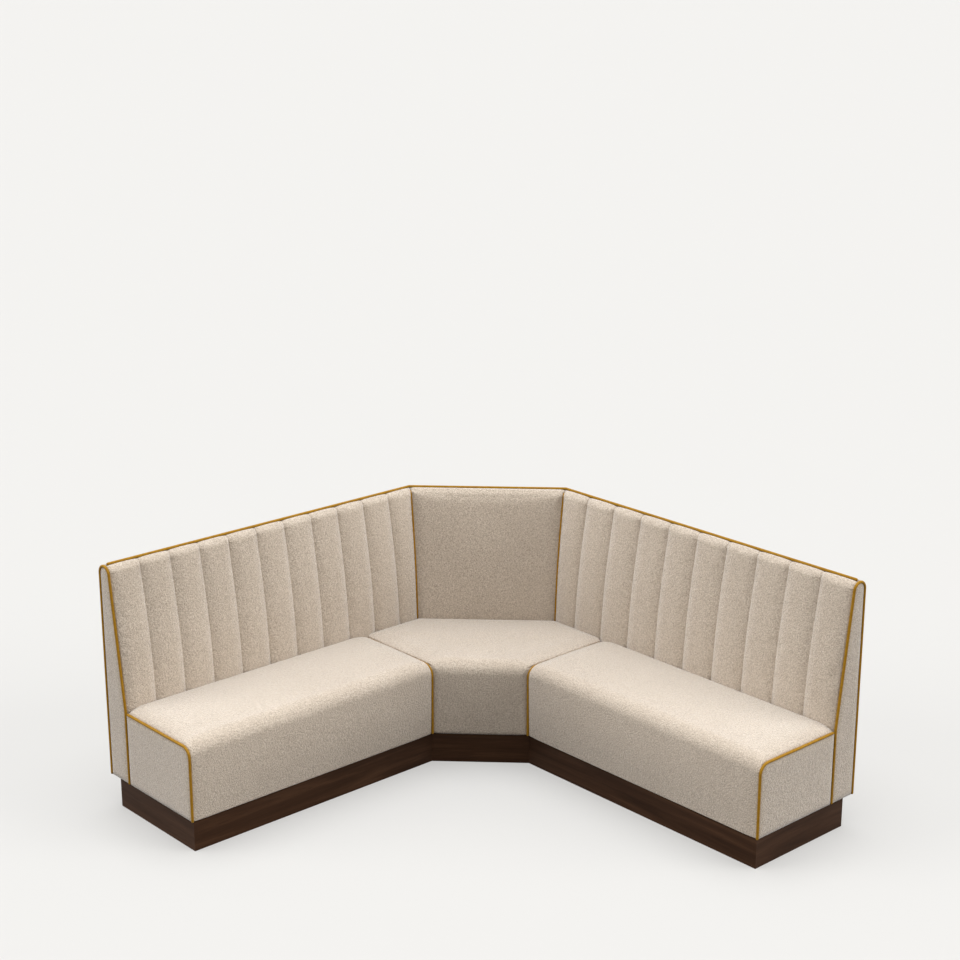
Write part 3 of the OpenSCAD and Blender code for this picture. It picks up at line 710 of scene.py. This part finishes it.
def rear_cover_section():
    """Outline of a rear cover: up the wall side, over the arch to the piping and down inside."""
    turns = np.linspace(np.pi, np.pi - math.acos(GROOVE_HALF / ARCH_R), REAR_ARCH_POINTS)
    wall = fill_path([(0.0, PLINTH_H + REAR_BEVEL), (0.0, ARCH_Z)], LONG_STEP)[:-1]
    arch = [arch_point(0, a) for a in turns]
    inner = ARCH_R - GAP
    inside = [(inner, TOTAL_H - PIPE_R - GROOVE_DEPTH), (inner, ARCH_Z), (COVER_T, ARCH_Z)]
    foot = [(COVER_T, mix(PLINTH_H, ARCH_Z, 0.5)), (COVER_T, PLINTH_H), (REAR_BEVEL, PLINTH_H)]
    return np.vstack([wall, arch, inside, foot])


def rear_cover(seed, low, high, place):
    """Rings of a cover between two places along its wall, which depend on the distance from it."""
    section = rear_cover_section()
    d, z = section.T
    shown = (d < COVER_T) | (z > ARCH_Z)
    inward = np.stack([np.full(len(section), ARCH_R), np.minimum(z, ARCH_Z)], 1) - section
    inward /= np.maximum(np.linalg.norm(inward, axis=1), LEAST_LENGTH)[:, None]
    rings = []
    for t in eased(REAR_RINGS):
        edge = min(t, 1 - t) * (high(0.0) - low(0.0))
        sink = REAR_SINK * rolled(edge, REAR_SINK_REACH)
        noise_at = np.stack([np.full(len(section), t * 2), z], 1)
        wave = REAR_WAVE * (1 + ripple(noise_at, REAR_WAVE_LENGTH, seed))
        p = section + inward * np.where(shown, sink + wave, 0)[:, None]
        rings.append(np.column_stack([mix(low(p[:, 0]), high(p[:, 0]), t), p]))
    return place(np.array(rings))


# Piping

# How far the piping between the backs stands out of its seam, as a share of its radius, and how far
# under the seat's edge it starts
JOINT_PIPE_LIFT = 0.35
JOINT_PIPE_TUCK = 0.01
# Counts of points round the arch of a back's end, round a seat's front edge and up the arch between
# the backs
END_ARCH_POINTS, SEAT_TURN_POINTS, JOINT_ARCH_POINTS = 26, 14, 12


def back_end_path():
    arch = [arch_point(PIPE_R, a) for a in np.linspace(np.pi, rake(PIPE_R), END_ARCH_POINTS)]
    front = BACK_D - PIPE_R
    return fill_path([(PIPE_R, PLINTH_H), *arch, (front, SEAT_H), (front, PLINTH_H)], STEP)


def seat_path():
    r = EDGE_R - PIPE_R
    roll = [
        (TOTAL_D - EDGE_R + r * math.sin(a), SEAT_H - EDGE_R + r * math.cos(a))
        for a in quarter(SEAT_TURN_POINTS)
    ]
    return fill_path([(BACK_D + GAP + PIPE_R, SEAT_H - PIPE_R), *roll, (FRONT_D, PLINTH_H)], STEP)


def joint_piping_path():
    """In the plane of the mitre: out from the corner of the slanted back, and up."""
    i = FLUTE_DEPTH - PIPE_R * JOINT_PIPE_LIFT
    front = BACK_D - GAP - i
    last = math.acos((GROOVE_HALF + 2 * PIPE_R) / ARCH_R)
    arch = [arch_point(i, a) for a in np.linspace(rake(i), last, JOINT_ARCH_POINTS)]
    path = fill_path([(front, SEAT_H - JOINT_PIPE_TUCK), (front, SEAT_H), *arch], STEP)
    path[:, 0] += bulge(path[:, 1])
    path[:, 0] /= math.cos(MITRE)
    return path


def at_station(path, u):
    return np.column_stack([np.full(len(path), u), path])


def piping_paths():
    """Each piping's node and the paths of its cords, in the row frame."""
    out, z = joint_piping_path().T
    mitre = np.column_stack([CUT + out * math.sin(MITRE), out * math.cos(MITRE), z])
    crest = [
        (on_left, side_end(LEFT_LEN) - PIPE_R), (on_left, mitre_at(ARCH_R)),
        (on_right, mitre_at(ARCH_R)), (on_right, side_end(RIGHT_LEN) - PIPE_R),
    ]
    places = [place(np.array([u, ARCH_R, TOTAL_H - PIPE_R])) for place, u in crest]
    paths = {
        "top_piping": [fill_path(places, LONG_STEP)],
        "back_joint_piping": [place(mitre) for place, _ in SIDES.values()],
        "seat_joint_piping": [place(at_station(seat_path(), JOINT)) for place, _ in SIDES.values()],
    }
    for side, (place, length) in SIDES.items():
        paths["back_end_piping_" + side] = [place(at_station(back_end_path(), length - PIPE_R))]
        paths["seat_end_piping_" + side] = [place(at_station(seat_path(), length - PIPE_R))]
    return paths


# Materials


def add_node(tree, kind, inputs=None, **settings):
    """A node with its settings. Each input is a value, or the socket that feeds it."""
    node = tree.nodes.new("ShaderNode" + kind)
    for name, value in settings.items():
        setattr(node, name, value)
    for name, value in (inputs or {}).items():
        if isinstance(value, bpy.types.NodeSocket):
            tree.links.new(value, node.inputs[name])
        else:
            node.inputs[name].default_value = value
    return node


def new_material(name, constants):
    """A material, its tree, its shader with the constants set, and its place socket in metres."""
    material = bpy.data.materials.new(name)
    material.use_nodes = True
    tree = material.node_tree
    shader = tree.nodes["Principled BSDF"]
    for socket, value in constants.items():
        shader.inputs[socket].default_value = value
    place = add_node(tree, "TexCoord").outputs["Object"]
    return material, tree, shader, place


def ramp(tree, fac, stops):
    node = add_node(tree, "ValToRGB", {"Fac": fac})
    elements = node.color_ramp.elements
    for i, (at, colour) in enumerate(stops):
        element = elements[i] if i < 2 else elements.new(at)
        element.position = at
        element.color = (*colour, 1)
    return node.outputs["Color"]


def grey_ramp(tree, fac, *stops):
    return ramp(tree, fac, [(at, (grey,) * 3) for at, grey in stops])


def math_node(tree, operation, a, b):
    return add_node(tree, "Math", {0: a, 1: b}, operation=operation).outputs[0]


def weighted(tree, operation, *pairs):
    """Two values added or subtracted, each times its share."""
    return math_node(tree, operation, *[math_node(tree, "MULTIPLY", *pair) for pair in pairs])


def noise(tree, place, scale, detail, rough=0.5, distortion=0.0):
    return add_node(tree, "TexNoise", {
        "Vector": place, "Scale": scale, "Detail": detail, "Roughness": rough,
        "Distortion": distortion,
    }).outputs["Fac"]


def mapped(tree, place, **inputs):
    return add_node(tree, "Mapping", {"Vector": place, **inputs}).outputs["Vector"]


def colour_mix(tree, a, b, share, blend="MIX"):
    """A fed colour mixed with another or multiplied by it, as far as the share says."""
    inputs = {0: share, 6: a, 7: b}
    return add_node(tree, "Mix", inputs, data_type="RGBA", blend_type=blend).outputs[2]


def feed(tree, shader, colour, rough, height, distance, strength):
    """Feeds a shader its colour and roughness, and its normal from a bump of a height."""
    bump = add_node(tree, "Bump", {"Height": height, "Distance": distance, "Strength": strength})
    tree.links.new(colour, shader.inputs["Base Color"])
    tree.links.new(rough, shader.inputs["Roughness"])
    tree.links.new(bump.outputs["Normal"], shader.inputs["Normal"])


def boucle():
    """Looped wool cover: clumps of lighter and darker yarn, with painted shade between the small
    curls, whose pattern also makes the bump.
    """
    material, tree, shader, place = new_material("boucle", {
        "Sheen Weight": 1.0, "Sheen Roughness": 0.45, "Specular IOR Level": 0.1})
    curls = add_node(tree, "TexVoronoi", {"Vector": place, "Scale": 240.0}).outputs["Distance"]
    clumps = noise(tree, place, scale=160.0, detail=3.0, rough=0.6)
    # The curls' term darkens the colour away from each curl's middle. That is painted shade between
    # the curls, on top of the clumps' own lighter and darker yarn.
    yarn_and_curl_shade = weighted(tree, "SUBTRACT", (clumps, 1.3), (curls, 0.4))
    colour = ramp(tree, yarn_and_curl_shade, [
        (0.22, (0.43, 0.355, 0.285)), (0.47, (0.58, 0.492, 0.402)), (0.72, (0.71, 0.625, 0.535))])
    aged = ramp(tree, noise(tree, place, scale=3.0, detail=2.0), [
        (0.35, (0.96, 0.955, 0.95)), (0.65, (1.0, 1.0, 1.0))])
    colour = colour_mix(tree, colour, aged, 1.0, "MULTIPLY")
    rough = grey_ramp(tree, clumps, (0.3, 0.98), (0.7, 0.86))
    feed(tree, shader, colour, rough, yarn_and_curl_shade, distance=0.0032, strength=1.0)
    return material


def piping_cloth():
    """Ochre twill wrapped on the bias round its cord."""
    material, tree, shader, place = new_material("piping_twill", {
        "Sheen Weight": 0.06, "Sheen Roughness": 0.4, "Specular IOR Level": 0.2})
    threads = add_node(tree, "TexWave", {
        "Vector": place, "Scale": 210.0, "Distortion": 1.5, "Detail": 1.0, "Detail Scale": 6.0,
    }, wave_type="BANDS", bands_direction="DIAGONAL").outputs["Fac"]
    colour = ramp(tree, noise(tree, place, scale=60.0, detail=3.0), [
        (0.3, (0.31, 0.155, 0.006)), (0.7, (0.42, 0.222, 0.012))])
    between = math_node(tree, "MULTIPLY", threads, 0.3)
    colour = colour_mix(tree, colour, (0.20, 0.088, 0.003, 1), between)
    rough = grey_ramp(tree, threads, (0.0, 0.55), (1.0, 0.75))
    feed(tree, shader, colour, rough, threads, distance=0.0004, strength=0.6)
    return material


# Each wood's name, its dark, middle and light colours, how far its pores show, and its gloss
WOODS = {
    "walnut": (
        "walnut", (0.024, 0.0100, 0.0044), (0.050, 0.0225, 0.0110), (0.098, 0.048, 0.025),
        0.6, 0.07),
    "plywood": (
        "birch_plywood", (0.42, 0.29, 0.15), (0.56, 0.41, 0.24), (0.66, 0.51, 0.33), 0.15, 0.3),
    "softwood": (
        "softwood", (0.40, 0.23, 0.10), (0.58, 0.38, 0.19), (0.68, 0.49, 0.28), 0.1, 0.3),
}
PORE_SHADE = 0.45


def wood(angle, name, dark, middle, light, pores, gloss):
    """Straight-grained wood whose grain runs at an angle in plan, with open pores."""
    material, tree, shader, place = new_material(name, {"Specular IOR Level": gloss})
    turned = mapped(tree, place, Rotation=(0, 0, -angle))
    long_way = mapped(tree, turned, Scale=(1.3, 22.0, 22.0))
    figure = noise(tree, long_way, scale=1.0, detail=5.0, rough=0.55, distortion=0.8)
    fine_way = mapped(tree, turned, Scale=(9.0, 420.0, 420.0))
    streaks = noise(tree, fine_way, scale=1.0, detail=2.0)
    grain = weighted(tree, "ADD", (figure, 0.75), (streaks, 0.25))
    colour = ramp(tree, grain, [(0.30, dark), (0.52, middle), (0.72, light)])
    opened = grey_ramp(tree, streaks, (0.60, 0.0), (0.72, 1.0))
    pore = (*[PORE_SHADE * c for c in dark], 1)
    colour = colour_mix(tree, colour, pore, math_node(tree, "MULTIPLY", opened, pores))
    rough = grey_ramp(tree, grain, (0.3, 0.52), (0.7, 0.40))
    feed(tree, shader, colour, rough, streaks, distance=0.0004, strength=0.35)
    return material


def zinc():
    material, tree, shader, place = new_material("zinc_plate", {"Metallic": 1.0})
    spangle = noise(tree, place, scale=240.0, detail=3.0)
    colour = ramp(tree, spangle, [(0.3, (0.42, 0.43, 0.44)), (0.7, (0.62, 0.63, 0.64))])
    rough = grey_ramp(tree, spangle, (0.3, 0.28), (0.7, 0.42))
    feed(tree, shader, colour, rough, spangle, distance=0.0002, strength=0.3)
    return material


# The pieces

SIM_FRAMES = 20
# How each kind of cushion swells: the pressure in it, how its cover stretches and bends, the share
# by which that is cut too large, how far a point may move out and in, and the passes that even it
SEAT_SWELL = {
    "pressure": 0.5, "stretch": 60.0, "bend": 30.0, "loose": 0.0,
    "out": 0.006, "in": 0.003, "even": 150,
}
BACK_SWELL = {
    "pressure": 4.0, "stretch": 15.0, "bend": 3.0, "loose": 0.004,
    "out": 0.004, "in": 0.003, "even": 0,
}
# How much of each soft piece is filled
SEAT_FILL, BACK_FILL, PANEL_FILL, REAR_FILL = 0.8, 0.85, 0.9, 1.0
# Width of the eased edges of walnut and of the boards inside
EASED_SHOWN, EASED_HIDDEN = 0.0012, 0.0006
FABRIC = boucle()
TWILL = piping_cloth()


def dress(obj, material):
    obj.data.materials.clear()
    obj.data.materials.append(material)


def finish_piece(obj, material, nodes):
    dress(obj, material)
    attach(obj, "root")
    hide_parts(*nodes)
    return obj


def shape(obj):
    out = np.empty(len(obj.data.vertices) * 3)
    obj.data.vertices.foreach_get("co", out)
    return out.reshape(-1, 3)


def pinned(obj):
    return [i for i, v in enumerate(obj.data.attributes["pin"].data) if v.value > 0.5]


def evened(obj, rise, held, passes):
    """The rise of an object's points, each averaged with its neighbours' in a number of passes.
    A face of many sides moves as one."""
    edges = np.empty(len(obj.data.edges) * 2, int)
    obj.data.edges.foreach_get("vertices", edges)
    a, b = edges.reshape(-1, 2).T
    count = np.bincount(edges, minlength=len(rise))
    caps = [list(f.vertices) for f in obj.data.polygons if len(f.vertices) > 4]
    for _ in range(passes):
        total = np.bincount(a, rise[b], len(rise)) + np.bincount(b, rise[a], len(rise))
        rise = (rise + total / count) / 2
        for cap in caps:
            rise[cap] = rise[cap].mean()
        rise[held] = 0
    return rise


def add_cloth(obj, swell):
    """Makes an object a cloth under pressure, held at its pins."""
    obj.vertex_groups.new(name="pins").add(pinned(obj), 1.0, "REPLACE")
    cloth = obj.modifiers.new("cloth", "CLOTH")
    cloth.point_cache.frame_end = SIM_FRAMES
    cloth.collision_settings.use_collision = False
    settings = cloth.settings
    settings.vertex_group_mass = "pins"
    settings.effector_weights.gravity = 0
    settings.use_pressure = True
    settings.uniform_pressure_force = swell["pressure"]
    settings.tension_stiffness = swell["stretch"]
    settings.compression_stiffness = swell["stretch"]
    settings.shear_stiffness = swell["stretch"]
    settings.bending_stiffness = swell["bend"]
    settings.shrink_min = -swell["loose"]
    settings.air_damping = 5.0
    settings.quality = 6
    settings.mass = 0.4


def inflate(pieces):
    """Swells each piece as cloth does. The foam limits its moves, which stay along its normals."""
    scene = bpy.context.scene
    for obj, swell in pieces:
        add_cloth(obj, swell)
    for number in range(1, SIM_FRAMES + 1):
        scene.frame_set(number)
    graph = bpy.context.evaluated_depsgraph_get()
    for obj, swell in pieces:
        before = shape(obj)
        moved = shape(obj.evaluated_get(graph)) - before
        normals = np.array([v.normal for v in obj.data.vertices])
        rise = (moved * normals).sum(1)
        cap = np.where(rise > 0, swell["out"], swell["in"])
        rise = evened(obj, cap * np.tanh(rise / cap), pinned(obj), swell["even"])
        obj.modifiers.remove(obj.modifiers["cloth"])
        obj.vertex_groups.clear()
        obj.data.vertices.foreach_set("co", (before + normals * rise[:, None]).reshape(-1))
        obj.data.update()
    scene.frame_set(1)


def subdivide(obj):
    finer = obj.modifiers.new("smooth_cover", "SUBSURF")
    finer.levels = finer.render_levels = 1


def upholster(name, nodes, fill, rings, pins=None):
    return finish_piece(solid(name, rings, pins=pins), FABRIC, nodes)


def make_upholstery():
    swollen = []
    for side, (place, length) in SIDES.items():
        end = side_end(length)
        nodes = ["seat_cushion_" + side, "seat_front_pad_" + side]
        seat = upholster("seat_cover_" + side, nodes, SEAT_FILL, *side_seat(side))
        back = upholster("fluted_back_" + side, ["back_pad_" + side], BACK_FILL, *side_pad(side))
        swollen += [(seat, SEAT_SWELL), (back, BACK_SWELL)]
        nodes = ["back_end_pad_" + side]
        upholster("back_end_panel_" + side, nodes, PANEL_FILL, back_end_panel(side))
        nodes = ["seat_end_pad_" + side]
        upholster("seat_end_panel_" + side, nodes, PANEL_FILL, seat_end_panel(side))
        rings = rear_cover(REAR_SEEDS[side], lambda d: mitre_at(d) + GAP, lambda d: end, place)
        upholster("rear_cover_" + side, ["back_rear_cover_" + side], REAR_FILL, rings)
    nodes = ["seat_cushion_corner", "seat_front_pad_corner"]
    seat = upholster("seat_cover_corner", nodes, SEAT_FILL, *corner_seat())
    back = upholster("plain_back_corner", ["back_pad_corner"], BACK_FILL, *corner_pad())
    swollen += [(seat, SEAT_SWELL), (back, BACK_SWELL)]
    rings = rear_cover(
        REAR_SEEDS["corner"], lambda d: -slant_half(d) + GAP, lambda d: slant_half(d) - GAP,
        on_corner)
    upholster("rear_cover_corner", ["back_rear_cover_corner"], REAR_FILL, rings)
    inflate(swollen)
    for obj, _ in swollen:
        subdivide(obj)


def make_piping():
    for node, paths in piping_paths().items():
        cord = solid(node.replace("piping", "welt"), *[tube(p, PIPE_R) for p in paths])
        finish_piece(cord, TWILL, [node])


ALONG_X, ALONG_Y, ALONG_SLANT = 0.0, math.pi / 2, -math.pi / 4


def grain_angle(node):
    """The way that the boards of a node run in plan."""
    if "corner" in node:
        return ALONG_SLANT
    if "end" in node:
        return ALONG_Y if "left" in node else ALONG_X
    return ALONG_Y if "right" in node else ALONG_X


def dress_frame():
    made = {}
    steel = zinc()
    for row in frame["record"]["subparts"]:
        node, slot = row["node"], row["material_slot"]
        obj = frame["nodes"][node]
        if slot in WOODS:
            key = slot, grain_angle(node)
            if key not in made:
                made[key] = wood(key[1], *WOODS[slot])
            dress(obj, made[key])
            edge = obj.modifiers.new("eased_edges", "BEVEL")
            edge.width = EASED_SHOWN if slot == "walnut" else EASED_HIDDEN
            edge.segments = 2
            edge.limit_method = "ANGLE"
        elif slot == "steel":
            dress(obj, steel)


make_upholstery()
make_piping()
dress_frame()

# Studio

BACKDROP = (0.905, 0.896, 0.880)
CAMERA_AT = (-4.904, -5.448, 3.716)
CAMERA_HEADING = math.radians(47.94)
CAMERA_DIP = math.radians(16.96)
CAMERA_LENS = 71.57
# Strength of the dome's light at the horizon and overhead
DOME_LOW, DOME_HIGH = 0.07, 0.95
DOME_TINT = (1.0, 0.985, 0.96)
# The floor as it is seen: its own glow, and the share of the backdrop's colour that takes shadows
FLOOR_GLOW, FLOOR_SHADE = 0.41, 0.34
# The floor as it lights the bench
FLOOR_COLOUR = (0.12, 0.115, 0.11)
FLOOR_REACH = 90.0
# The soft suns: where each stands, its spread in degrees, its strength and its tint
WARM = (1.0, 0.975, 0.935)
SUNS = {
    "softbox_above": ((0.0, 0.0, 1.0), 60, 2.5, (0.965, 0.985, 1.0)),
    "softbox_right": ((0.55, -0.75, 0.35), 36, 1.5, WARM),
    "softbox_left": ((-0.75, 0.55, 0.35), 36, 1.3, WARM),
}


def seen_rays(tree):
    """1 for rays that show the backdrop itself, straight, in gloss or through glass."""
    light = add_node(tree, "LightPath").outputs
    total = math_node(tree, "MAXIMUM", light["Is Camera Ray"], light["Is Glossy Ray"])
    return math_node(tree, "MAXIMUM", total, light["Is Transmission Ray"])


def make_world():
    world = bpy.data.worlds.new("studio")
    bpy.context.scene.world = world
    world.use_nodes = True
    tree = world.node_tree
    tree.nodes.clear()
    direction = add_node(tree, "TexCoord").outputs["Generated"]
    glow = add_node(tree, "MapRange", {
        "Value": add_node(tree, "SeparateXYZ", {"Vector": direction}).outputs["Z"],
        "From Min": 0.0, "From Max": 1.0, "To Min": DOME_LOW, "To Max": DOME_HIGH,
    }).outputs["Result"]
    dome = add_node(tree, "Background", {"Color": (*DOME_TINT, 1), "Strength": glow})
    shown = add_node(tree, "Background", {"Color": (*BACKDROP, 1), "Strength": 1.0})
    both = add_node(tree, "MixShader", {
        0: seen_rays(tree), 1: dome.outputs[0], 2: shown.outputs[0]})
    add_node(tree, "OutputWorld", {"Surface": both.outputs[0]})


def make_floor():
    mesh = bpy.data.meshes.new("floor")
    corners = [(-1, -1, 0), (1, -1, 0), (1, 1, 0), (-1, 1, 0)]
    mesh.from_pydata([FLOOR_REACH * Vector(c) for c in corners], [], [(0, 1, 2, 3)])
    floor = add_to_scene("floor", mesh)
    material = bpy.data.materials.new("pale_floor")
    material.use_nodes = True
    tree = material.node_tree
    tree.nodes.clear()
    glow = add_node(tree, "Emission", {"Color": (*BACKDROP, 1), "Strength": FLOOR_GLOW})
    shade = add_node(tree, "BsdfDiffuse", {"Color": (*[c * FLOOR_SHADE for c in BACKDROP], 1)})
    seen = add_node(tree, "AddShader", {0: glow.outputs[0], 1: shade.outputs[0]})
    plain = add_node(tree, "BsdfDiffuse", {"Color": (*FLOOR_COLOUR, 1)})
    both = add_node(tree, "MixShader", {
        0: seen_rays(tree), 1: plain.outputs[0], 2: seen.outputs[0]})
    add_node(tree, "OutputMaterial", {"Surface": both.outputs[0]})
    mesh.materials.append(material)


def make_sun(name, towards, spread, strength, tint):
    """A very soft sun, which stands for a softbox and lights near and far alike."""
    lamp = bpy.data.lights.new(name, "SUN")
    lamp.angle = math.radians(spread)
    lamp.energy = strength
    lamp.color = tint
    obj = add_to_scene(name, lamp)
    obj.rotation_euler = Vector(towards).to_track_quat("Z", "Y").to_euler()


def make_camera():
    camera = bpy.data.cameras.new("camera")
    camera.lens = CAMERA_LENS
    level = math.cos(CAMERA_DIP)
    aim = Vector((
        math.cos(CAMERA_HEADING) * level, math.sin(CAMERA_HEADING) * level, -math.sin(CAMERA_DIP)))
    obj = add_to_scene("camera", camera)
    obj.location = CAMERA_AT
    obj.rotation_euler = aim.to_track_quat("-Z", "Y").to_euler()
    bpy.context.scene.camera = obj


make_world()
make_floor()
for sun, settings in SUNS.items():
    make_sun(sun, *settings)
make_camera()
bpy.context.scene.view_settings.view_transform = "Standard"
